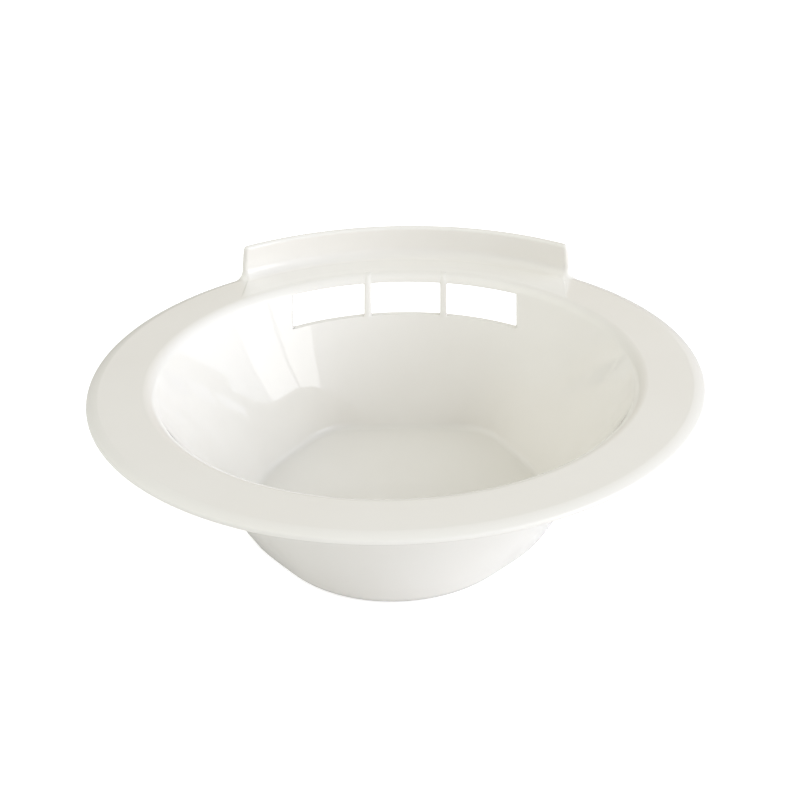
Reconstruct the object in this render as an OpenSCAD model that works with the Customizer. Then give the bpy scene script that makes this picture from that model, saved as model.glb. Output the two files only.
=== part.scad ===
// Round hospital bedpan, moulded in one shell of glossy plastic.
// Origin: centre of the flat underside. +Z up, +Y towards the raised back guard.
// Every node is one region of the moulding; neighbours meet on a shared face.

/* [Rim] */
// Outer diameter over the rim, mm
rim_d = 320.4; // [300:0.2:360]
// Diameter where the flat of the rim starts to turn down into the bowl, mm
mouth_d = 263.6; // [236:0.2:272]
// Width of the rounded outer edge, measured radially, mm
edge_w = 6.4; // [6:0.2:11]
// Height of the turned-down outer edge, mm
edge_h = 3.9; // [3.6:0.1:6]
// Radius of the roll from rim into bowl, mm
mouth_round = 8; // [5.5:0.1:11]

/* [Bowl] */
// Height of the rim above the underside, mm
depth = 84.6; // [64:0.2:110]
// Wall thickness of the moulding, mm
wall_t = 3; // [2:0.1:3.6]
// Diameter across the round part of the underside, mm
base_d = 166; // [140:1:180]
// How far the front of the underside bulges past that circle, mm
front_lobe = 9; // [0:0.5:12]
// How far each rear corner bulges past that circle, mm
rear_lobe = 7.5; // [0:0.5:10]
// Angle of each rear corner from the centre line, degrees
rear_angle = 31; // [24:1:45]
// Radius where wall meets underside, mm
base_round = 8; // [6:0.5:12]
// Diameter of the plain round floor plate, mm
floor_d = 132; // [100:1:136]

/* [Grip openings] */
// Width over all three grip openings, mm
grip_w = 133.6; // [100:0.2:160]
// Height of the openings below the mouth roll, mm
grip_h = 17.3; // [12:0.1:26]
// Distance of each grip bar from the centre line, mm
bar_x = 23; // [16:0.5:32]
// Width of each grip bar, mm
bar_w = 3.9; // [3:0.1:7]

/* [Back guard] */
// Height of the guard above the rim, mm
guard_h = 19.3; // [12:0.1:40]
// Thickness of the guard, mm
guard_t = 4.4; // [3.6:0.1:5]
// Half of the arc the guard covers, degrees
guard_a = 37.9; // [30:0.1:55]
// How far each end of the guard leans out towards its foot, degrees
end_lean = 9; // [0:0.5:15]
// Radius of the hollow where guard meets rim, mm
cove_r = 6.4; // [4:0.1:8]
// Radius on the guard's top corners, mm
guard_corner = 3; // [1.5:0.1:5]
// Radius of the hollow foot at each end of the guard, mm
foot_r = 5; // [3:0.1:6]
// Width of the rim panel in front of the guard, mm
panel_w = 192; // [170:1:210]

/* [Hidden] */
$fn = 96;
rim_r = rim_d / 2;
mouth_r = mouth_d / 2;
flat_r = rim_r - edge_w;               // where the flat starts to fall away
edge_b = edge_h - 1.6;                 // height of the curved part of the edge
top = depth;                           // rim top
under = depth - wall_t;                // rim underside
floor_z = wall_t;                      // inside floor

// Slope of the bowl wall: the inside line runs from the end of the mouth roll
// to the inside floor. The angle is found by stepping a fixed point four times.
base_in = base_d / 2 - 1;
function slope_from(w) = atan((depth - wall_t - mouth_round * (1 - cos(w)))
                       / (mouth_r - mouth_round * sin(w) - base_in));
wall_a = slope_from(slope_from(slope_from(slope_from(60))));
roll_r = mouth_r - mouth_round * sin(wall_a);        // inside radius at the end of the roll
roll_z = top - mouth_round * (1 - cos(wall_a));      // its height
skew = wall_t / sin(wall_a);                         // wall thickness measured level
sill_z = roll_z - grip_h;                            // lower edge of the openings
function cone_in(z) = roll_r - (roll_z - z) / tan(wall_a);

// Plan shape of the inside floor: a circle, a soft front corner and two tighter
// rear corners, joined by tangents. Each entry is x, y, radius.
front_rad = base_in * 0.78;
rear_rad = base_in * 0.38;
front_c = base_in + front_lobe - front_rad;
rear_c = base_in + rear_lobe - rear_rad;
plan = [[0, 0, base_in],
        [0, -front_c, front_rad],
        [rear_c * sin(rear_angle), rear_c * cos(rear_angle), rear_rad],
        [-rear_c * sin(rear_angle), rear_c * cos(rear_angle), rear_rad]];
function reach(n) = max([for (c = plan) c[0] * cos(n) + c[1] * sin(n) + c[2]]);
function lobe(a) = min([for (n = [a - 50 : 1 : a + 50]) reach(n) / cos(n - a)]);

// Inside radius of the lower wall at azimuth a and height z: the cone of the
// upper wall, drawn out to the lobed floor as it comes down.
function low_in(a, z) = let(s = max(0, (sill_z - z) / (sill_z - floor_z)))
    cone_in(z) + (lobe(a) - base_in) * s * s;

n_az = 96;             // steps around the lofted wall
n_wall = 9;            // steps down its straight part
n_round = 5;           // steps round its lower corner
azimuths = [for (i = [0 : n_az - 1]) i * 360 / n_az];
hole_r = floor_d / 2 / cos(180 / n_az);   // keeps the flats outside the floor disc

// One meridian of the lower wall at azimuth a: outside from the sill down,
// round the corner, under the floor, then back up the inside.
// off = extra radius, zb = height of the flat, rad = corner radius
function meridian(a, off, zb, rad) =
    let(rb = low_in(a, zb) + off,
        rs = low_in(a, zb + 6) + off,
        w = atan2(6, rs - rb),
        tl = rad * tan(w / 2),
        z1 = zb + tl * sin(w))
    concat([for (i = [0 : n_wall]) let(z = sill_z + (z1 - sill_z) * i / n_wall)
                [i == n_wall ? rb + tl * cos(w) : low_in(a, z) + off, z]],
           [for (i = [1 : n_round]) let(t = w * (1 - i / n_round))
                [rb - tl + rad * sin(t), zb + rad - rad * cos(t)]],
           [[hole_r, zb]]);
rev = function(v) [for (i = [len(v) - 1 : -1 : 0]) v[i]];
function ring_pts(a) = concat(meridian(a, skew, 0, base_round),
                              rev(meridian(a, 0, floor_z, base_round - wall_t)));

module loft(rows) {
    m = len(rows[0]);
    n = len(rows);
    pts = [for (i = [0 : n - 1]) for (p = rows[i])
              [p[0] * cos(azimuths[i]), p[0] * sin(azimuths[i]), p[1]]];
    faces = [for (i = [0 : n - 1]) for (j = [0 : m - 1])
        let(a = i * m + j, b = i * m + (j + 1) % m,
            c = ((i + 1) % n) * m + j, d = ((i + 1) % n) * m + (j + 1) % m)
        each [[a, b, d], [a, d, c]]];
    polyhedron(points = pts, faces = faces, convexity = 6);
}

// Points over the turned-down edge: a rounded shoulder, fuller than an ellipse
steps = 14;
full = 0.8;
edge_arc = [for (i = [0 : steps]) let(t = 90 * i / steps)
    [flat_r + edge_w * pow(sin(t), full), top - edge_b + edge_b * pow(cos(t), full)]];
edge_table = concat([[0, top]], edge_arc);
function edge_z(r) = lookup(r, edge_table);   // height of the rim's top at radius r

// Full section of the turned-down edge: shoulder, short side, rounded lower
// corner and a slight lip under the rim
lip_round = 1;
module edge_section() {
    low = top - edge_h;
    polygon(concat(edge_arc,
                   [for (i = [0 : 4]) let(t = 90 * i / 4)
                       [rim_r - lip_round + lip_round * cos(t),
                        low + lip_round - lip_round * sin(t)]],
                   [[rim_r - wall_t, low], [rim_r - wall_t - 1.2, under], [flat_r, under]]));
}

guard_r = rim_r - guard_t;             // inside face of the guard
foot_z = -3;                           // where the end foot runs out, below the rim top
foot_x = (guard_h - foot_z - foot_r) * tan(end_lean) + foot_r / cos(end_lean);
sector_a = guard_a + asin((foot_x - 0.02) / rim_r);

// Everything beyond one end of the guard, drawn square on to it: rounded top
// corner, an end that leans out going down, and a hollow foot.
// Origin at the end's top corner, x outwards along the rim, y up.
module end_cut_shape() {
    c = guard_corner;
    f = foot_r;
    xc = c * tan(end_lean) - c / cos(end_lean);
    n = 8;
    polygon(concat(
        [[xc, 3]],
        [for (i = [0 : n]) let(t = 90 - (90 - end_lean) * i / n)
            [xc + c * cos(t), -c + c * sin(t)]],
        [for (i = [0 : n]) let(t = 180 + end_lean + (90 - end_lean) * i / n)
            [foot_x + f * cos(t), foot_z + f - guard_h + f * sin(t)]],
        [[foot_x + 30, foot_z - guard_h], [foot_x + 30, 3]]));
}

module end_cuts() {
    for (s = [0, 1]) mirror([s, 0, 0]) rotate([0, 0, -guard_a])
        translate([0, rim_r + 10, top + guard_h]) rotate([90, 0, 0])
            linear_extrude(height = 40) end_cut_shape();
}

// Cone band of the wall between the mouth roll and the sill
module band() {
    rotate_extrude() polygon([
        [roll_r, roll_z], [cone_in(sill_z), sill_z],
        [cone_in(sill_z) + skew, sill_z],
        [roll_r + skew, roll_z]]);
}

module rear_slab(x0, x1) {
    translate([x0, 0, sill_z - 1]) cube([x1 - x0, rim_r, roll_z - sill_z + 2]);
}

// ---- nodes ----

// Flat seat of the rim, open at the back where the guard panel sits
module seat_rim() {
    color([0.93, 0.92, 0.89])
    difference() {
        rotate_extrude() translate([mouth_r, under]) square([flat_r - mouth_r, wall_t]);
        translate([-panel_w / 2, 0, under - 1]) cube([panel_w, rim_r, wall_t + 2]);
    }
}

// Part of the rim between mouth and guard
module rim_panel() {
    color([0.92, 0.91, 0.88])
    intersection() {
        rotate_extrude() translate([mouth_r, under]) square([flat_r - mouth_r, wall_t]);
        translate([-panel_w / 2, 0, under - 1]) cube([panel_w, rim_r, wall_t + 2]);
    }
}

// Rounded, turned-down outer edge
module rim_edge() {
    color([0.91, 0.90, 0.87])
    rotate_extrude() edge_section();
}

// Roll from the rim into the bowl
module mouth_roll() {
    n = 12;
    r0 = mouth_round;
    r1 = mouth_round - wall_t;
    outer = [for (i = [0 : n]) let(t = wall_a * i / n)
        [mouth_r - r0 * sin(t), top - r0 + r0 * cos(t)]];
    inner = [for (i = [0 : n]) let(t = wall_a * i / n)
        [mouth_r - r1 * sin(t), top - r0 + r1 * cos(t)]];
    color([0.94, 0.93, 0.90])
    rotate_extrude() polygon(concat(outer,
        [[roll_r + skew, roll_z]], rev(inner)));
}

// Conical upper wall, open at the back for the grip
module upper_wall() {
    color([0.93, 0.92, 0.88])
    difference() {
        band();
        rear_slab(-grip_w / 2, grip_w / 2);
    }
}

// Bars that divide the grip into three openings
module grip_bar_left() {
    color([0.90, 0.89, 0.86])
    intersection() { band(); rear_slab(-bar_x - bar_w / 2, -bar_x + bar_w / 2); }
}

module grip_bar_right() {
    color([0.90, 0.89, 0.86])
    intersection() { band(); rear_slab(bar_x - bar_w / 2, bar_x + bar_w / 2); }
}

// Lower wall, drawn from a round sill to the lobed floor
module lower_wall() {
    color([0.92, 0.91, 0.87])
    loft([for (a = azimuths) ring_pts(a)]);
}

// Flat round floor
module floor_plate() {
    color([0.91, 0.90, 0.86])
    cylinder(d = floor_d, h = wall_t);
}

// Upstanding guard at the back, with rounded top, corners and end feet.
// Its underside follows the rounded edge that it stands on.
module back_guard() {
    q = guard_t / 2;
    n = 12;
    foot = [for (p = edge_arc) if (p[0] > guard_r + 0.01) p];
    color([0.95, 0.94, 0.91])
    difference() {
        rotate([0, 0, 90 - sector_a]) rotate_extrude(angle = 2 * sector_a)
            polygon(concat(
                [[guard_r, edge_z(guard_r)]], foot,
                [for (i = [0 : n]) let(t = 180 * i / n)
                    [guard_r + q + q * cos(t), top + guard_h - q + q * sin(t)]]));
        end_cuts();
    }
}

// Hollow fillet between the rim and the inside face of the guard
module guard_cove() {
    n = 10;
    under_cove = [for (p = edge_arc) if (p[0] < guard_r - 0.01) p];
    color([0.94, 0.93, 0.90])
    difference() {
        rotate([0, 0, 90 - sector_a]) rotate_extrude(angle = 2 * sector_a)
            polygon(concat(
                [for (i = [0 : n]) let(t = 90 * i / n)
                    [guard_r - cove_r + cove_r * sin(t), top + cove_r - cove_r * cos(t)]],
                [[guard_r, edge_z(guard_r)]], rev(under_cove)));
        end_cuts();
    }
}

seat_rim();
rim_panel();
rim_edge();
mouth_roll();
upper_wall();
grip_bar_left();
grip_bar_right();
lower_wall();
floor_plate();
back_guard();
guard_cove();
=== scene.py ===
"""Looks of the bedpan. One closed mesh stands for each CAD node; all of them come
from one continuous skin, so neighbours share their seams. Lengths are in mm here
and are turned into metres when a mesh is made."""

import math

import bpy
import numpy as np
from mathutils import Matrix, Vector


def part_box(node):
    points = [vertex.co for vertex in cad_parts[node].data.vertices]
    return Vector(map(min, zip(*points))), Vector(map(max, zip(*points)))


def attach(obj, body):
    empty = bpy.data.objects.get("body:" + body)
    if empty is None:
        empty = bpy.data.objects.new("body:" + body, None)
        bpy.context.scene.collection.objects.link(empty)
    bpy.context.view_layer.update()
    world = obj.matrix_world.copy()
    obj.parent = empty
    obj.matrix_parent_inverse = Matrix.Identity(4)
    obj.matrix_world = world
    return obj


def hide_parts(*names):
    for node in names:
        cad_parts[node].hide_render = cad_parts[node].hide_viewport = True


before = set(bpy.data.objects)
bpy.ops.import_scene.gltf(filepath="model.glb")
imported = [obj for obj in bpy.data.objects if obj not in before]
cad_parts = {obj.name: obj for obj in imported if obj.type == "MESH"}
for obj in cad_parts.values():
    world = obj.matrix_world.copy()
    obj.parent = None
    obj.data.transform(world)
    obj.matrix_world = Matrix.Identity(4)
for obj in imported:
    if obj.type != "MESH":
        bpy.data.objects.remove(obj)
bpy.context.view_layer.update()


def box(name):
    lo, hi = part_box(name)
    return np.array(lo) * 1000.0, np.array(hi) * 1000.0


# ---------------------------------------------------------------- sizes, from the CAD
RIM_R = box("rim_edge")[1][0]
LIP_Z = box("rim_edge")[0][2]
UNDER, TOP = box("seat_rim")[0][2], box("seat_rim")[1][2]
FLAT_R = box("seat_rim")[1][0]
ROLL_Z = box("upper_wall")[1][2]
MOUTH_R = box("mouth_roll")[1][0]
SILL_Z = box("upper_wall")[0][2]
PANEL_X = box("rim_panel")[1][0]
BAR_A, BAR_B = box("grip_bar_right")[0][0], box("grip_bar_right")[1][0]
FLOOR_R, FLOOR_T = box("floor_plate")[1][0], box("floor_plate")[1][2]
GUARD_TOP = box("back_guard")[1][2]
WALL_T = TOP - UNDER

GRIP_X = 66.8
MOUTH_ROUND = 8.0
BASE_IN = 82.0
FRONT_LOBE, REAR_LOBE, REAR_ANGLE = 9.0, 7.5, 31.0
BASE_ROUND = 8.0
GUARD_T = 4.4
GUARD_A = math.radians(37.9)
LEAN = math.tan(math.radians(9.0))
COVE_R = 6.4
CORNER_R = 3.0
FOOT_R = 5.0

EDGE_W = RIM_R - FLAT_R
EDGE_FALL = math.radians(8.0)              # slope where the rim's shoulder starts
NOSE_FALL = math.radians(24.0)             # slope where it turns into the nose
NOSE_R = 1.5                               # rounding where the shoulder turns down

WALL_A = math.radians(60)
for _ in range(8):
    WALL_A = math.atan(
        (TOP - WALL_T - MOUTH_ROUND * (1 - math.cos(WALL_A)))
        / (MOUTH_R - MOUTH_ROUND * math.sin(WALL_A) - BASE_IN)
    )
SW, CW = math.sin(WALL_A), math.cos(WALL_A)
ROLL_R = MOUTH_R - MOUTH_ROUND * SW
SKEW = WALL_T / SW
GRIP_L = (ROLL_Z - SILL_Z) / SW            # slope length of the openings
SMALL_R = MOUTH_ROUND - WALL_T             # underside of the mouth roll
LOW_A = math.acos((ROLL_Z - TOP + MOUTH_ROUND) / SMALL_R)

# details too fine for the CAD
EDGE_RHO = 0.35                            # rounding on the edges of the openings
LIP_RHO = 0.8                              # rounding under the rim's edge
HOLE_R = 0.9                               # corner radius of the openings
PANEL_UP = 0.22                            # how far the rim panel stands proud
BAR_UP = 0.2                              # how far the bars stand proud


def smooth(t):
    t = np.clip(t, 0, 1)
    return t * t * (3 - 2 * t)


def round_off(d, rho):
    """How far a skin falls back at distance d from an edge rounded with radius rho."""
    d = np.clip(d, 0, rho)
    return rho - np.sqrt(np.maximum(rho * rho - (rho - d) ** 2, 0))


# ---------------------------------------------------------------- plan shape of the floor
def lobe_table(n=7200):
    front = BASE_IN * 0.78
    rear = BASE_IN * 0.38
    fc = BASE_IN + FRONT_LOBE - front
    rc = BASE_IN + REAR_LOBE - rear
    ra = math.radians(REAR_ANGLE)
    plan = [
        (0, 0, BASE_IN),
        (0, -fc, front),
        (rc * math.sin(ra), rc * math.cos(ra), rear),
        (-rc * math.sin(ra), rc * math.cos(ra), rear),
    ]
    nn = np.radians(np.arange(0, 360, 0.25))
    reach = np.max([x * np.cos(nn) + y * np.sin(nn) + r for x, y, r in plan], axis=0)
    a = np.radians(np.arange(n) * 360 / n)
    out = np.empty(n)
    for k in range(0, n, 600):
        d = nn[None, :] - a[k : k + 600, None]
        c = np.cos(d)
        v = np.where(c > 0.6, reach[None, :] / np.maximum(c, 0.6), 1e9)
        out[k : k + 600] = v.min(axis=1)
    spec = np.fft.rfft(out)
    f = np.arange(len(spec))
    spec *= np.exp(-((f / 46.0) ** 2))
    return np.fft.irfft(spec, n)


LOBE = lobe_table()
LOBE_A = np.arange(len(LOBE) + 1) * 2 * math.pi / len(LOBE)
LOBE_V = np.append(LOBE, LOBE[0]) - BASE_IN


def lobe(th):
    """Extra radius of the floor at azimuth th, measured from +Y towards +X."""
    return np.interp(np.mod(math.pi / 2 - th, 2 * math.pi), LOBE_A, LOBE_V)


def cone_in(z):
    return ROLL_R - (ROLL_Z - z) * CW / SW


def low_in(th, z):
    s = np.maximum(0, (SILL_Z - z) / (SILL_Z - FLOOR_T))
    return cone_in(z) + lobe(th) * s * s


def low_slope(th, z):
    s = np.maximum(0, (SILL_Z - z) / (SILL_Z - FLOOR_T))
    return CW / SW - 2 * s * lobe(th) / (SILL_Z - FLOOR_T)


# ---------------------------------------------------------------- the skin
# Regions along a meridian, from the outer lip to the middle of the floor:
# 0 lip, 1 flat, 2 mouth roll, 3 upper wall, 4 lower wall, 5 floor
C_END = 396.0


def column_angle(c, r):
    """Azimuth of column c at radius r. Columns up to PANEL_X run at constant x."""
    rr = np.maximum(r, 110.0)
    a = np.abs(c)
    inner = np.arcsin(np.minimum(a, PANEL_X) / rr)
    t = np.clip((a - PANEL_X) / (C_END - PANEL_X), 0, 1)
    return np.sign(c) * (inner + (math.pi - inner) * t)


def hole_shift(m):
    """How far an opening's side edge moves into the opening near its corners."""
    e = np.minimum(m, GRIP_L - m)
    inside = HOLE_R - np.sqrt(np.maximum(HOLE_R**2 - (HOLE_R - np.clip(e, 0, HOLE_R)) ** 2, 0))
    return np.where(e >= 0, inside, HOLE_R * (1 - smooth(-e / 6.0)))


def column_warp(c, m):
    """Signed shift of column c at slope distance m, to follow the openings' corners."""
    a = np.abs(c)
    f = hole_shift(m)
    mid = (BAR_A + BAR_B) / 2
    half = (BAR_B - BAR_A) / 2
    w1 = np.where(a < BAR_A, np.clip(1 - (BAR_A - a) / 7, 0, 1), np.clip((mid - a) / half, 0, 1))
    w2 = np.where(a > BAR_B, np.clip(1 - (a - BAR_B) / 7, 0, 1), np.clip((a - mid) / half, 0, 1))
    w3 = np.clip(1 - np.abs(a - GRIP_X) / 7, 0, 1)
    return np.sign(c) * f * (w2 - w1 - w3)


def hole_distance(x, m):
    """Distance from the nearest opening, outside it."""
    a = np.abs(x)
    best = np.full(np.broadcast(a, m).shape, 1e9)
    for x0, x1 in ((-BAR_A, BAR_A), (BAR_B, GRIP_X)):
        cx, hx = (x0 + x1) / 2, (x1 - x0) / 2 - HOLE_R
        qx = np.abs(a - cx) - hx
        qm = np.abs(m - GRIP_L / 2) - (GRIP_L / 2 - HOLE_R)
        d = np.hypot(np.maximum(qx, 0), np.maximum(qm, 0)) + np.minimum(np.maximum(qx, qm), 0) - HOLE_R
        best = np.minimum(best, d)
    return best


def panel_up(x, r):
    side = smooth((PANEL_X - np.abs(x)) / 1.2)
    return PANEL_UP * side * smooth((r - MOUTH_R) / 6.0) * (1 - smooth((r - FLAT_R) / 5))


def shoulder_line(n=1500):
    """The rim's edge seen in section, from the flat out to the upright side: a bend, a swell, a nose."""
    turn = 0.8
    reach = NOSE_R * (1 - math.sin(NOSE_FALL))
    swell = (EDGE_W - reach - turn) / math.cos((EDGE_FALL + NOSE_FALL) / 2)
    nose = NOSE_R * (math.pi / 2 - NOSE_FALL)
    w = np.linspace(0, turn + swell + nose, n)
    head = EDGE_FALL * smooth(w / turn)
    head = head + (NOSE_FALL - EDGE_FALL) * np.clip((w - turn) / swell, 0, 1)
    head = head + (math.pi / 2 - NOSE_FALL) * np.clip((w - turn - swell) / nose, 0, 1)
    mid = (head[1:] + head[:-1]) / 2
    r = np.r_[0, np.cumsum(np.cos(mid) * np.diff(w))]
    z = np.r_[0, np.cumsum(np.sin(mid) * np.diff(w))]
    return np.stack([FLAT_R + r * (EDGE_W / r[-1]), TOP - z], 1)


SHOULDER = shoulder_line()


def rim_top(x, r):
    """Height of the rim's upper face, for the guard to stand on."""
    return np.interp(r, SHOULDER[:, 0], SHOULDER[:, 1]) + panel_up(x, r)


def path_table(parts, bend, n=6000):
    """Evenly spread points along a line in (r, z): t = 0..1 follows length plus bend times turning."""
    pts = np.concatenate(parts)
    keep = np.r_[True, np.linalg.norm(np.diff(pts, axis=0), axis=1) > 1e-9]
    pts = pts[keep]
    seg = np.diff(pts, axis=0)
    ln = np.linalg.norm(seg, axis=1)
    head = np.unwrap(np.arctan2(seg[:, 1], seg[:, 0]))
    turn = np.r_[0, np.abs(np.diff(head))]
    w = np.r_[0, np.cumsum(ln + bend * turn)]
    t = np.linspace(0, 1, n)
    return np.interp(t, w / w[-1], pts[:, 0]), np.interp(t, w / w[-1], pts[:, 1])


def line(a, b, n=60):
    t = np.linspace(0, 1, n)[:, None]
    return np.array(a)[None] * (1 - t) + np.array(b)[None] * t


def corner(a, b, c, n=300):
    """A smooth turn from a to c with its corner at b."""
    t = np.linspace(0, 1, n)[:, None]
    a, b, c = np.array(a), np.array(b), np.array(c)
    return a * (1 - t) ** 2 + 2 * b * t * (1 - t) + c * t**2


def lip_tables():
    a = np.linspace(0, math.pi / 2, 1200)
    low_corner = np.stack([RIM_R - LIP_RHO + LIP_RHO * np.sin(a), LIP_Z + LIP_RHO - LIP_RHO * np.cos(a)], 1)
    mid = RIM_R - WALL_T / 2
    outer = [line((mid, LIP_Z), (RIM_R - LIP_RHO, LIP_Z)), low_corner, SHOULDER[::-1]]
    i0, i1 = RIM_R - WALL_T, RIM_R - WALL_T - 1.2
    inner = [
        line((mid, LIP_Z), (i0 + 0.5, LIP_Z)),
        corner((i0 + 0.5, LIP_Z), (i0, LIP_Z), (i0 - 0.4, LIP_Z + 0.3)),
        line((i0 - 0.4, LIP_Z + 0.3), (i1 + 0.4, UNDER - 0.3)),
        corner((i1 + 0.4, UNDER - 0.3), (i1, UNDER), (i1 - 0.6, UNDER)),
        line((i1 - 0.6, UNDER), (FLAT_R, UNDER)),
    ]
    return path_table(outer, 1.6), path_table(inner, 0.6)


LIP_OUT, LIP_IN = lip_tables()
LIP_T = np.linspace(0, 1, len(LIP_OUT[0]))


def skin(c, s, low):
    """Points of the skin at column c and station s; low = 1 for the underside."""
    c, s = np.broadcast_arrays(np.asarray(c, float), np.asarray(s, float))
    # column 2*C_END - c is the same line as -c, so columns close round the front
    over = np.abs(c) > C_END
    c = np.where(over, np.sign(c) * (2 * C_END - np.abs(c)) * -1, c)
    k = np.clip(np.floor(s).astype(int), 0, 5)
    t = s - k
    r = np.zeros(s.shape)
    z = np.zeros(s.shape)
    m = np.full(s.shape, -60.0)            # slope distance from the end of the mouth roll
    nr = np.zeros(s.shape)
    nz = np.ones(s.shape)

    # 0 lip
    q = k == 0
    table = LIP_IN if low else LIP_OUT
    rl, zl = np.interp(t, LIP_T, table[0]), np.interp(t, LIP_T, table[1])
    r = np.where(q, rl, r)
    z = np.where(q, zl, z)

    # 1 flat
    q = k == 1
    r = np.where(q, FLAT_R + (MOUTH_R - FLAT_R) * t, r)
    z = np.where(q, UNDER if low else TOP, z)

    # 2 mouth roll
    q = k == 2
    cz = TOP - MOUTH_ROUND
    if not low:
        w = WALL_A * t
        rm = MOUTH_R - MOUTH_ROUND * np.sin(w)
        zm = cz + MOUTH_ROUND * np.cos(w)
        mm = -(WALL_A - w) * MOUTH_ROUND
    else:
        w = LOW_A * t                      # stops level with the end of the top skin
        rm = MOUTH_R - SMALL_R * np.sin(w)
        zm = cz + SMALL_R * np.cos(w)
        mm = -(LOW_A - w) * SMALL_R
    r = np.where(q, rm, r)
    z = np.where(q, zm, z)
    m = np.where(q, mm, m)
    nr = np.where(q, -np.sin(w), nr)
    nz = np.where(q, np.cos(w), nz)

    # 3 upper wall
    q = k == 3
    zu = ROLL_Z + (SILL_Z - ROLL_Z) * t
    ru = cone_in(zu) + (SKEW if low else 0)
    lift = np.clip((zu - cz) / SMALL_R, -1, 1)
    arc = (zu > cz + SMALL_R * CW) if low else np.zeros(zu.shape, bool)
    ru = np.where(arc, MOUTH_R - SMALL_R * np.sqrt(1 - lift * lift), ru)
    r = np.where(q, ru, r)
    z = np.where(q, zu, z)
    m = np.where(q, t * GRIP_L, m)
    nr = np.where(q, np.where(arc, -np.sqrt(1 - lift * lift), -SW), nr)
    nz = np.where(q, np.where(arc, lift, CW), nz)

    # 4 lower wall: straight part, corner, flat
    q = k == 4
    off, zb, rad = (SKEW, 0.0, BASE_ROUND) if low else (0.0, FLOOR_T, BASE_ROUND - WALL_T)
    th = column_angle(c, np.where(q, 100.0, r))
    tt = np.clip(t, 0, 1)
    z1 = zb + rad * 0.5
    for _ in range(4):
        wa = np.arctan2(1, low_slope(th, z1))
        z1 = zb + rad * (1 - np.cos(wa))
    r1 = low_in(th, z1) + off
    zc = np.where(tt < 0.7, SILL_Z + (z1 - SILL_Z) * tt / 0.7, z1)
    th4 = column_angle(c, cone_in(zc))
    rw = low_in(th4, zc) + off
    ph = wa * (1 - np.clip((tt - 0.7) / 0.2, 0, 1))
    rc = r1 - rad * np.sin(wa)
    rarc = rc + rad * np.sin(ph)
    zarc = zb + rad - rad * np.cos(ph)
    rf = rc + (FLOOR_R - rc) * np.clip((tt - 0.9) / 0.1, 0, 1)
    r4 = np.where(tt < 0.7, rw, np.where(tt < 0.9, rarc, rf))
    z4 = np.where(tt < 0.7, zc, np.where(tt < 0.9, zarc, zb))
    r = np.where(q, r4, r)
    z = np.where(q, z4, z)
    m = np.where(q, GRIP_L + (SILL_Z - z4) / SW, m)
    nr = np.where(q, -SW, nr)
    nz = np.where(q, CW, nz)

    # 5 floor
    q = k == 5
    r = np.where(q, FLOOR_R * (1 - np.clip(t, 0, 1)), r)
    z = np.where(q, zb, z)
    m = np.where(q, GRIP_L + 90, m)

    # columns, opening corners, rounded edges, proud parts
    shifted = np.clip(c + column_warp(c, m), -C_END, C_END)
    base_r = np.where(k == 4, cone_in(z), r)
    base_r = np.where((k == 4) & (t >= 0.7), 100.0, base_r)
    base_r = np.where(k == 5, 100.0, base_r)
    ang = column_angle(shifted, base_r)
    x = r * np.sin(ang)
    near = (m > -8) & (m < GRIP_L + 8) & (np.cos(ang) > 0)
    d = np.where(near, hole_distance(x, m), 1e9)
    fall = round_off(d, EDGE_RHO)
    fall = np.where(near, fall, 0)
    sign = 1 if low else -1
    r = r + sign * fall * nr
    z = z + sign * fall * nz
    if not low:
        mid, half = (BAR_A + BAR_B) / 2, (BAR_B - BAR_A) / 2
        across = 1 - smooth((np.abs(np.abs(x) - mid) - (half - 0.9)) / 0.7)
        along = smooth((m + 11.0) / 6.0) * (1 - smooth((m - GRIP_L - 0.2) / 1.6))
        up = BAR_UP * across * along * (np.cos(ang) > 0)
        r = r + up * nr
        z = z + up * nz
        z = z + np.where((k <= 1) & (np.cos(ang) > 0), panel_up(x, r), 0)
    return np.stack([r * np.sin(ang), r * np.cos(ang), z], -1)


def unit(v):
    return v / np.maximum(np.linalg.norm(v, axis=-1, keepdims=True), 1e-12)


def skin_normal(c, s, low):
    e, es = 0.02, 2e-4
    p = skin(c, s, low)
    du = unit(skin(c + e, s, low) - p) + unit(p - skin(c - e, s, low))
    sp = np.minimum(s + es, 6.0)
    sm = np.maximum(s - es, 0.0)
    dv = unit(skin(c, sp, low) - p) + unit(p - skin(c, sm, low))
    n = unit(np.cross(dv, du))
    n = np.where((np.broadcast_to(s, n.shape[:-1]) >= 4.95)[..., None], np.array([0.0, 0.0, 1.0]), n)
    return -n if low else n


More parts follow.
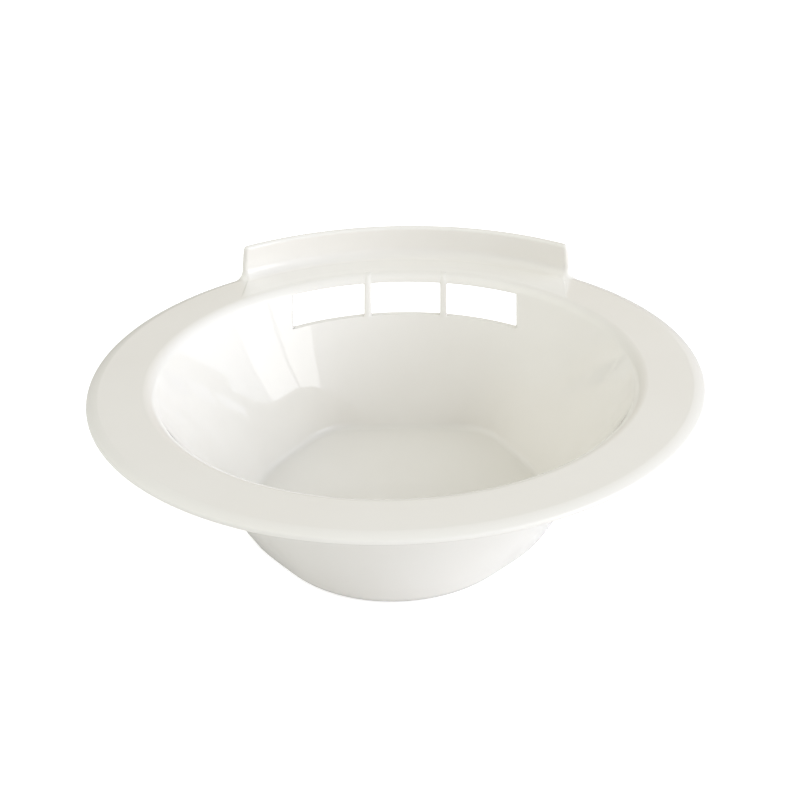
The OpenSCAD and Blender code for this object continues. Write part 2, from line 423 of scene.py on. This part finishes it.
# ---------------------------------------------------------------- mesh building
class Mesh:
    """Quads with a normal for every corner. cap = True marks a plain cap."""

    def __init__(self):
        self.p, self.n, self.f, self.cap = [], [], [], []
        self.count = 0

    def add(self, pts, nrm, quads, cap=False):
        pts = np.asarray(pts, float).reshape(-1, 3)
        self.p.append(pts)
        self.n.append(np.zeros_like(pts) if nrm is None else np.asarray(nrm, float).reshape(-1, 3))
        q = np.asarray(quads, int).reshape(-1, 4) + self.count
        self.f.append(q)
        self.cap.append(np.full(len(q), cap))
        self.count += len(pts)

    def grid(self, pts, nrm, flip=False, cap=False):
        a, b = pts.shape[:2]
        i = np.arange(a * b).reshape(a, b)
        q = np.stack([i[:-1, :-1], i[1:, :-1], i[1:, 1:], i[:-1, 1:]], -1).reshape(-1, 4)
        if flip:
            q = q[:, ::-1]
        self.add(pts, nrm, q, cap)

    def build(self, name):
        p = np.concatenate(self.p)
        n = np.concatenate(self.n)
        f = np.concatenate(self.f)
        cap = np.concatenate(self.cap)
        key = np.round(p * 2000).astype(np.int64)
        _, first, inv = np.unique(key, axis=0, return_index=True, return_inverse=True)
        inv = np.asarray(inv).reshape(-1)
        verts = p[first]
        faces, normals = [], []
        for quad, is_cap in zip(f, cap):
            w = [int(inv[i]) for i in quad]
            keep = [i for i in range(4) if w[i] != w[(i + 1) % 4]]
            if len(keep) < 3 or len({w[i] for i in keep}) < 3:
                continue
            loop = [w[i] for i in keep]
            faces.append(loop)
            if is_cap:
                pts = verts[loop]
                nn = np.zeros(3)
                for i in range(1, len(loop) - 1):
                    nn += np.cross(pts[i] - pts[0], pts[i + 1] - pts[0])
                nn = nn / max(np.linalg.norm(nn), 1e-12)
                normals += [nn] * len(loop)
            else:
                normals += [n[quad[i]] for i in keep]
        me = bpy.data.meshes.new(name)
        me.from_pydata((verts * 0.001).tolist(), [], faces)
        me.polygons.foreach_set("use_smooth", [True] * len(me.polygons))
        me.update()
        me.normals_split_custom_set([tuple(v) for v in normals])
        ob = bpy.data.objects.new(name, me)
        bpy.context.scene.collection.objects.link(ob)
        return ob


def refine(edge, side):
    return [edge + side * d for d in (0, 0.025, 0.07, 0.14, 0.23, 0.35, 0.55, 0.85)]


def columns():
    xs = set()
    xs.update(np.arange(0, BAR_A - 3, 2.0))
    xs.update([BAR_A - d for d in (0.4, 0.9, 1.5, 2.2, 3.0)])
    xs.update(refine(BAR_A, 1))
    xs.update(refine(BAR_B, -1))
    xs.update([(BAR_A + BAR_B) / 2])
    xs.update([BAR_B + d for d in (0.4, 0.9, 1.5, 2.2, 3.0)])
    xs.update(np.arange(BAR_B + 4.5, GRIP_X - 3.4, 1.9))
    xs.update([GRIP_X - d for d in (0.4, 0.9, 1.5, 2.2, 3.0)])
    xs.update(refine(GRIP_X, 1))
    xs.update(np.arange(GRIP_X + 1.6, PANEL_X - 1.6, 1.5))
    xs.update([PANEL_X - d for d in (1.2, 1.0, 0.8, 0.6, 0.4, 0.2, 0.0)])
    xs.update(np.linspace(PANEL_X, C_END, 176))
    pos = np.array(sorted(xs))
    keep = [pos[0]]
    for v in pos[1:]:
        if v - keep[-1] > 0.02:
            keep.append(v)
    pos = np.array(keep)
    pos[-1] = C_END
    return np.concatenate([-pos[::-1][:-1], pos])


COLS = columns()


def col_index(c):
    return int(np.argmin(np.abs(COLS - c)))


fine = np.array([0, 0.025, 0.07, 0.14, 0.23, 0.35, 0.55, 0.85])
ROLL_LEN = WALL_A * MOUTH_ROUND
STATIONS = {
    "lip": np.linspace(0, 1, 34),
    "flat": 1
    + np.concatenate([[0, 0.012, 0.03, 0.07], np.linspace(0.12, 0.86, 12), [0.89, 0.92, 0.95, 0.98, 1.0]]),
    "roll": 2 + np.concatenate([np.linspace(0, 1 - 1.2 / ROLL_LEN, 22), 1 - fine[::-1] / ROLL_LEN]),
    "upper": 3
    + np.concatenate(
        [
            fine / GRIP_L,
            np.array([1.15, 1.5, 2.1]) / GRIP_L,
            np.linspace(3.0 / GRIP_L, 1 - 3.0 / GRIP_L, 12),
            1 - np.array([2.1, 1.5, 1.15]) / GRIP_L,
            1 - fine[::-1] / GRIP_L,
        ]
    ),
    "lower": 4
    + np.concatenate(
        [fine / 64 * 0.7, np.linspace(1.6 / 64, 1, 40) * 0.7, 0.7 + 0.2 * np.linspace(0.07, 1, 14), [0.93, 0.96, 1.0]]
    ),
    "floor": 5 + np.array([0, 0.06, 0.12, 0.2, 0.28, 0.36, 0.44, 0.52, 0.6, 0.68, 0.76, 0.84, 0.91, 0.96, 1.0]),
}


def block(name, rows, c0=None, c1=None, wrap=False):
    """A closed piece of the shell over the given stations and columns."""
    mesh = Mesh()
    if c0 is None:
        cols = COLS
        closed = True
    elif wrap:                              # the long way round, past the front
        i0, i1 = col_index(c0), col_index(c1)
        cols = np.concatenate([COLS[i0:], COLS[1 : i1 + 1]])
        closed = False
    else:
        cols = COLS[col_index(c0) : col_index(c1) + 1]
        closed = False
    C, S = np.meshgrid(cols, rows, indexing="ij")
    if wrap:                                # counts the columns from c0 to the front; the count is not used
        k = len(COLS[col_index(c0) :])
        C = C.copy()
    top, bot = skin(C, S, 0), skin(C, S, 1)
    nt, nb = skin_normal(C, S, 0), skin_normal(C, S, 1)
    mesh.grid(top, nt, flip=True)
    mesh.grid(bot, nb, flip=False)
    for j, flip in ((0, False), (-1, True)):
        if j == -1 and name == "floor_plate":
            continue
        strip = np.stack([top[:, j], bot[:, j]], 1)
        mesh.grid(strip, None, flip=flip, cap=True)
    if not closed:
        for i, flip in ((0, True), (-1, False)):
            strip = np.stack([top[i], bot[i]], 1)
            mesh.grid(strip, None, flip=flip, cap=True)
    return mesh.build(name)


pieces = {}
pieces["rim_edge"] = block("rim_edge", STATIONS["lip"])
pieces["rim_panel"] = block("rim_panel", STATIONS["flat"], -PANEL_X, PANEL_X)
pieces["seat_rim"] = block("seat_rim", STATIONS["flat"], PANEL_X, -PANEL_X, wrap=True)
pieces["mouth_roll"] = block("mouth_roll", STATIONS["roll"])
pieces["upper_wall"] = block("upper_wall", STATIONS["upper"], GRIP_X, -GRIP_X, wrap=True)
pieces["grip_bar_left"] = block("grip_bar_left", STATIONS["upper"], -BAR_B, -BAR_A)
pieces["grip_bar_right"] = block("grip_bar_right", STATIONS["upper"], BAR_A, BAR_B)
pieces["lower_wall"] = block("lower_wall", STATIONS["lower"])
pieces["floor_plate"] = block("floor_plate", STATIONS["floor"])

# ---------------------------------------------------------------- guard and cove
GH = GUARD_TOP - TOP
GP = GUARD_T / 2
GM = RIM_R - GP                            # middle radius of the guard


def end_reach(h):
    """How far the guard's end stands out past its top corner's line, at height h."""
    y = GH - h
    xc = CORNER_R * LEAN - CORNER_R * math.sqrt(1 + LEAN * LEAN)
    arc_y = CORNER_R * (1 - math.sin(math.atan(LEAN)))
    arc = xc + np.sqrt(np.maximum(CORNER_R**2 - (np.clip(CORNER_R - y, 0, CORNER_R)) ** 2, 0))
    return np.where(y < arc_y, arc, y * LEAN)


def hollow(h, r):
    h = np.clip(h, 0, r)
    return r - np.sqrt(np.maximum(r * r - (r - h) ** 2, 0))


def guard_point(v, h):
    """v: -1..1 inner face left to right, 1..3 right end, 3..5 outer face back, 5..7 left end."""
    v, h = np.broadcast_arrays(np.asarray(v, float), np.asarray(h, float))
    v = np.mod(v + 1, 8) - 1
    p = np.where(h > GH - GP, np.sqrt(np.maximum(GP**2 - (h - GH + GP) ** 2, 0)), GP)
    c = hollow(h, COVE_R)
    f = hollow(h, FOOT_R)
    qc = end_reach(h) - p
    phc = GUARD_A + qc / GM
    reach = p + f
    r = np.zeros(v.shape)
    ph = np.zeros(v.shape)
    a = v <= 1
    r = np.where(a, GM - p - c, r)
    ph = np.where(a, phc * v, ph)
    b = (v > 1) & (v < 3)
    tau = (v - 1) / 2 * math.pi
    semi = np.where(tau < math.pi / 2, p + c, p)
    r = np.where(b, GM - semi * np.cos(tau), r)
    ph = np.where(b, phc + reach * np.sin(tau) / GM, ph)
    d = (v >= 3) & (v <= 5)
    r = np.where(d, GM + p, r)
    ph = np.where(d, phc * (4 - v), ph)
    e = v > 5
    tau = (v - 5) / 2 * math.pi
    semi = np.where(tau > math.pi / 2, p + c, p)
    r = np.where(e, GM + semi * np.cos(tau), r)
    ph = np.where(e, -phc - reach * np.sin(tau) / GM, ph)
    x = r * np.sin(ph)
    fade = 1 - smooth(h / 9.0)
    z = TOP + h + (rim_top(x, r) - TOP) * fade
    return np.stack([x, r * np.cos(ph), z], -1)


def guard_normal(v, h):
    e = 2e-4
    p = guard_point(v, h)
    du = unit(guard_point(v + e, h) - p) + unit(p - guard_point(v - e, h))
    hp, hm = np.minimum(h + 0.004, GH), np.maximum(h - 0.004, 0)
    dv = unit(guard_point(v, hp) - p) + unit(p - guard_point(v, hm))
    return unit(np.cross(du, dv))


cap_t = 1 - np.cos(np.linspace(0, math.pi, 25))          # 0..2, dense at its ends
side = np.linspace(-1, 1, 121)
V = np.concatenate([side, 1 + cap_t[1:-1], 4 + side, 5 + cap_t[1:-1]])
LOW_H = COVE_R * (1 - np.cos(np.linspace(0, math.pi / 2, 14)))
LOW_H = np.concatenate([[0, 0.004, 0.02], LOW_H[1:]])
HIGH_H = np.concatenate(
    [
        np.linspace(COVE_R, GH - CORNER_R - 0.4, 7),
        np.linspace(GH - CORNER_R, GH - GP, 4)[:-1],
        GH - GP + GP * np.sin(np.linspace(0, math.pi / 2, 14)),
    ]
)


def close_ring(a):
    return np.concatenate([a, a[:1]], 0)


def guard_meshes():
    Vr = np.append(V, 7.0)
    # upper part, all the way round
    m = Mesh()
    VV, HH = np.meshgrid(Vr, HIGH_H, indexing="ij")
    P, N = guard_point(VV, HH), guard_normal(VV, HH)
    N[:, -1] = (0, 0, 1)
    m.grid(P, N)
    # lower part: both ends and the outer face, from v=1 round to v=7
    ve = Vr[Vr >= 1]
    VV, HH = np.meshgrid(ve, LOW_H, indexing="ij")
    PL, NL = guard_point(VV, HH), guard_normal(VV, HH)
    NL[:, 0] = foot_normal(PL[:, 0])
    m.grid(PL, NL)
    # hidden face behind the cove, and the steps at its two ends
    s = side
    hid = hidden_face(s)
    m.grid(hid, None, cap=True)
    for end, flip in ((0, False), (-1, True)):
        outer = PL[-1] if end == 0 else PL[0]
        strip = np.stack([outer, hid[end]], 0)
        m.grid(strip, None, flip=flip, cap=True)
    # underside, lying on the rim: strips from the inner line to the outer line
    m_bottom(m, PL[:, 0], ve, hid[:, 0])
    guard = m.build("back_guard")

    # the cove: the hollow face, a back on the guard, a foot on the rim and two ends
    k = Mesh()
    VV, HH = np.meshgrid(s, LOW_H, indexing="ij")
    PC, NC = guard_point(VV, HH), guard_normal(VV, HH)
    NC[:, 0] = foot_normal(PC[:, 0])
    k.grid(PC, NC)
    k.grid(hid, None, flip=True, cap=True)
    t = np.linspace(0, 1, 9)
    foot = []
    for i in range(len(s)):
        a, b = PC[i, 0], hid[i, 0]
        q = a[None, :] * (1 - t[:, None]) + b[None, :] * t[:, None]
        rr = np.hypot(q[:, 0], q[:, 1])
        q[1:-1, 2] = rim_top(q[1:-1, 0], rr[1:-1])
        if i in (0, len(s) - 1):               # one straight edge where the end face meets the foot
            q = np.array([a] * 5 + [b] * 4)
        foot.append(q)
    foot = np.array(foot)
    k.grid(foot, None, flip=True, cap=True)
    for end, flip in ((0, True), (-1, False)):
        k.grid(np.stack([PC[end], hid[end]], 0), None, flip=flip, cap=True)
    cove = k.build("guard_cove")
    return guard, cove


def foot_normal(p):
    """Normal of the rim's upper face under the foot of the hollow."""
    r = np.hypot(p[:, 0], p[:, 1])
    d = 0.01
    g = (rim_top(p[:, 0], r + d) - rim_top(p[:, 0], r - d)) / (2 * d)
    g = np.clip(g, -6, 6)
    return unit(np.stack([-g * p[:, 0] / r, -g * p[:, 1] / r, np.ones(len(p))], -1))


def hidden_face(s):
    """Inner face of the guard behind the cove, from the rim up to the cove's top."""
    SS, HH = np.meshgrid(s, LOW_H, indexing="ij")
    qc = end_reach(HH) - GP
    ph = (GUARD_A + qc / GM) * SS
    r = np.full(HH.shape, GM - GP)
    x = r * np.sin(ph)
    fade = 1 - smooth(HH / 9.0)
    z = TOP + HH + (rim_top(x, r) - TOP) * fade
    return np.stack([x, r * np.cos(ph), z], -1)


def m_bottom(m, ring, ve, hid0):
    """Closes the guard's foot. ring runs from v=1 round the outside to v=7."""
    nside = len(side)
    n_cap = (len(ve) - nside) // 2          # points of one end cap on the ring, with its first
    outer = ring[n_cap : n_cap + nside][::-1]           # left to right
    inner = hid0                                        # left to right
    t = np.linspace(0, 1, 5)
    rows = []
    for i in range(nside):
        q = inner[i][None] * (1 - t[:, None]) + outer[i][None] * t[:, None]
        rr = np.hypot(q[:, 0], q[:, 1])
        q[1:-1, 2] = rim_top(q[1:-1, 0], rr[1:-1])
        rows.append(q)
    m.grid(np.array(rows), None, flip=True, cap=True)
    for which in (0, 1):
        if which == 0:                                   # right end
            arc = ring[: n_cap + 1]
            line = rows[-1]
        else:                                            # left end
            arc = ring[n_cap + nside - 1 :][::-1]
            line = rows[0]
        # arc runs from the hollow's end to the outer face; line from the hidden face outwards
        poly = [*arc, *line[::-1][1:]]
        c = np.mean(arc[[0, len(arc) // 2, -1]], 0) * 0.5 + line[0] * 0.5
        c[2] = rim_top(c[0], math.hypot(c[0], c[1]))
        poly = [np.array(q) for q in poly]
        n = len(poly)
        for i in range(n):
            a, b = poly[i], poly[(i + 1) % n]
            quad = np.array([c, b, a, a] if which == 0 else [c, a, b, b])
            m.add(quad, None, [[0, 1, 2, 3]], cap=True)


pieces["back_guard"], pieces["guard_cove"] = guard_meshes()


# ---------------------------------------------------------------- material
def plastic():
    mat = bpy.data.materials.new("white_plastic_look")
    mat.use_nodes = True
    nt = mat.node_tree
    nt.nodes.clear()
    out = nt.nodes.new("ShaderNodeOutputMaterial")
    bsdf = nt.nodes.new("ShaderNodeBsdfPrincipled")
    nt.links.new(bsdf.outputs["BSDF"], out.inputs["Surface"])
    coord = nt.nodes.new("ShaderNodeTexCoord")

    def noise(scale, detail, rough):
        n = nt.nodes.new("ShaderNodeTexNoise")
        n.inputs["Scale"].default_value = scale
        n.inputs["Detail"].default_value = detail
        n.inputs["Roughness"].default_value = rough
        nt.links.new(coord.outputs["Object"], n.inputs["Vector"])
        return n

    tone = noise(14, 3, 0.55)
    ramp = nt.nodes.new("ShaderNodeValToRGB")
    ramp.color_ramp.elements[0].position = 0.3
    ramp.color_ramp.elements[0].color = (0.855, 0.828, 0.775, 1)
    ramp.color_ramp.elements[1].position = 0.7
    ramp.color_ramp.elements[1].color = (0.873, 0.849, 0.800, 1)
    nt.links.new(tone.outputs["Fac"], ramp.inputs["Fac"])
    nt.links.new(ramp.outputs["Color"], bsdf.inputs["Base Color"])

    gloss = noise(60, 4, 0.6)
    mapr = nt.nodes.new("ShaderNodeMapRange")
    mapr.inputs["From Min"].default_value = 0.3
    mapr.inputs["From Max"].default_value = 0.7
    mapr.inputs["To Min"].default_value = 0.03
    mapr.inputs["To Max"].default_value = 0.06
    nt.links.new(gloss.outputs["Fac"], mapr.inputs["Value"])
    nt.links.new(mapr.outputs["Result"], bsdf.inputs["Roughness"])

    peel = noise(260, 2, 0.5)
    slow = noise(22, 2, 0.5)
    add = nt.nodes.new("ShaderNodeMath")
    add.operation = "MULTIPLY_ADD"
    add.inputs[1].default_value = 8.0
    nt.links.new(slow.outputs["Fac"], add.inputs[0])
    nt.links.new(peel.outputs["Fac"], add.inputs[2])
    bump = nt.nodes.new("ShaderNodeBump")
    bump.inputs["Strength"].default_value = 0.25
    bump.inputs["Distance"].default_value = 0.00006
    nt.links.new(add.outputs[0], bump.inputs["Height"])
    nt.links.new(bump.outputs["Normal"], bsdf.inputs["Normal"])
    bsdf.inputs["IOR"].default_value = 1.5
    return mat


plastic_mat = plastic()
for name, ob in pieces.items():
    ob.name = "look_" + name
    ob.data.materials.append(plastic_mat)
    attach(ob, "root")
    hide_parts(name)


# ---------------------------------------------------------------- stage
def floor_material():
    """Pale sheet: matt and slightly grained in its own light, washed out to white for the camera."""
    mat = bpy.data.materials.new("floor_look")
    mat.use_nodes = True
    nt = mat.node_tree
    nt.nodes.clear()
    out = nt.nodes.new("ShaderNodeOutputMaterial")
    mix = nt.nodes.new("ShaderNodeAddShader")
    dif = nt.nodes.new("ShaderNodeBsdfDiffuse")
    glow = nt.nodes.new("ShaderNodeEmission")
    path = nt.nodes.new("ShaderNodeLightPath")
    gain = nt.nodes.new("ShaderNodeMath")
    gain.operation = "MULTIPLY"
    gain.inputs[1].default_value = FLOOR_GLOW
    nt.links.new(path.outputs["Is Camera Ray"], gain.inputs[0])
    nt.links.new(gain.outputs[0], glow.inputs["Strength"])
    coord = nt.nodes.new("ShaderNodeTexCoord")
    grain = nt.nodes.new("ShaderNodeTexNoise")
    grain.inputs["Scale"].default_value = 8
    grain.inputs["Detail"].default_value = 3
    nt.links.new(coord.outputs["Object"], grain.inputs["Vector"])
    ramp = nt.nodes.new("ShaderNodeValToRGB")
    ramp.color_ramp.elements[0].color = (FLOOR_TONE - 0.01, FLOOR_TONE - 0.01, FLOOR_TONE - 0.01, 1)
    ramp.color_ramp.elements[1].color = (FLOOR_TONE + 0.01, FLOOR_TONE + 0.01, FLOOR_TONE + 0.01, 1)
    nt.links.new(grain.outputs["Fac"], ramp.inputs["Fac"])
    nt.links.new(ramp.outputs["Color"], dif.inputs["Color"])
    nt.links.new(dif.outputs[0], mix.inputs[0])
    nt.links.new(glow.outputs[0], mix.inputs[1])
    nt.links.new(mix.outputs[0], out.inputs["Surface"])
    return mat


def plane(name, corners, mat):
    me = bpy.data.meshes.new(name)
    me.from_pydata([tuple(c) for c in corners], [], [(0, 1, 2, 3)])
    ob = bpy.data.objects.new(name, me)
    bpy.context.scene.collection.objects.link(ob)
    me.materials.append(mat)
    return ob


FLOOR_TONE = 0.9
FLOOR_GLOW = 0.6
plane("floor_sheet", [(-6, -6, 0), (6, -6, 0), (6, 6, 0), (-6, 6, 0)], floor_material())


def direction(az, el):
    """Unit vector at azimuth az (from +Y towards +X) and elevation el, in degrees."""
    a, e = math.radians(az), math.radians(el)
    return Vector((math.sin(a) * math.cos(e), math.cos(a) * math.cos(e), math.sin(e)))


# The room: broad soft lobes of light, each an azimuth, an elevation, a sharpness and a colour
ROOM = [
    (90, 0, 2.0, (2.06, 2.12, 2.33)),
    (90, 40, 6.0, (0.09, 0.15, 0.19)),
    (-90, 0, 2.0, (0.60, 0.65, 0.73)),
    (-90, 50, 5.0, (1.42, 1.41, 1.25)),
    (180, 0, 2.0, (0.86, 0.86, 0.86)),
    (0, 20, 10.0, (0.49, 0.39, 0.26)),
    (0, 90, 6.0, (0.12, 0.12, 0.10)),
]
world = bpy.data.worlds.new("studio")
bpy.context.scene.world = world
world.use_nodes = True
wn = world.node_tree
wback = wn.nodes["Background"]
wcoord = wn.nodes.new("ShaderNodeTexCoord")
total = None
for az, el, power, colour in ROOM:
    dot = wn.nodes.new("ShaderNodeVectorMath")
    dot.operation = "DOT_PRODUCT"
    dot.inputs[1].default_value = direction(az, el)
    wn.links.new(wcoord.outputs["Generated"], dot.inputs[0])
    pos = wn.nodes.new("ShaderNodeMath")
    pos.operation = "MAXIMUM"
    pos.inputs[1].default_value = 0.0
    wn.links.new(dot.outputs["Value"], pos.inputs[0])
    lift = wn.nodes.new("ShaderNodeMath")
    lift.operation = "POWER"
    lift.inputs[1].default_value = power
    wn.links.new(pos.outputs[0], lift.inputs[0])
    term = wn.nodes.new("ShaderNodeVectorMath")
    term.operation = "MULTIPLY_ADD"
    term.inputs[1].default_value = colour
    term.inputs[2].default_value = (0, 0, 0)
    wn.links.new(lift.outputs[0], term.inputs[0])
    if total is not None:
        wn.links.new(total, term.inputs[2])
    total = term.outputs["Vector"]
wn.links.new(total, wback.inputs["Color"])
wback.inputs["Strength"].default_value = 1.0


def light(name, pos, facing, size, colour):
    """Rectangular light of the given radiance."""
    li = bpy.data.lights.new(name, "AREA")
    li.shape = "RECTANGLE"
    li.size, li.size_y = size
    li.energy = size[0] * size[1] * math.pi
    li.color = colour
    ob = bpy.data.objects.new(name, li)
    ob.location = pos
    ob.rotation_euler = Vector(facing).to_track_quat("-Z", "Y").to_euler()
    bpy.context.scene.collection.objects.link(ob)
    return ob


def pane(name, az0, az1, el0, el1, far, colour):
    """Upright window pane between two azimuths and two elevations, seen from the bowl's left wall."""
    d = direction((az0 + az1) / 2, 0)
    width = 2 * far * math.tan(math.radians((az1 - az0) / 2))
    z0, z1 = far * math.tan(math.radians(el0)), far * math.tan(math.radians(el1))
    pos = Vector((-0.07, 0.08, 0.05)) + d * far + Vector((0, 0, (z0 + z1) / 2))
    return light(name, pos, -d, (width, z1 - z0), colour)


pane("window_a", 88, 106.8, 3, 42, 1.7, (2.0, 2.0, 2.05))
pane("window_b", 108.8, 127, 3, 42, 1.7, (2.3, 2.3, 2.35))

bpy.context.scene.view_settings.view_transform = "Standard"

# ---------------------------------------------------------------- camera
cam = bpy.data.cameras.new("camera")
cam.sensor_width = 36.0
cam.lens = 61.0095
cam_ob = bpy.data.objects.new("camera", cam)
bpy.context.scene.collection.objects.link(cam_ob)
EL, AZ = math.radians(26.6753), math.radians(3.69638)
target = Vector((0, 0, (TOP - 0.6) * 0.001))
back = Vector((math.sin(AZ) * math.cos(EL), -math.cos(AZ) * math.cos(EL), math.sin(EL)))
cam_ob.location = target + back * (RIM_R * 0.001) * (713.62 / 160.2)
right = (-back).cross(Vector((0, 0, 1))).normalized()
up = right.cross(-back).normalized()
basis = Matrix((right, up, back)).transposed()
yaw, pitch, roll = math.radians(-0.169408), math.radians(-1.3205), math.radians(1.747168)
turn = (
    Matrix.Rotation(yaw, 3, "Y") @ Matrix.Rotation(pitch, 3, "X") @ Matrix.Rotation(roll, 3, Vector((0, 0, -1)))
)
cam_ob.rotation_euler = (basis @ turn).to_euler()
bpy.context.scene.camera = cam_ob
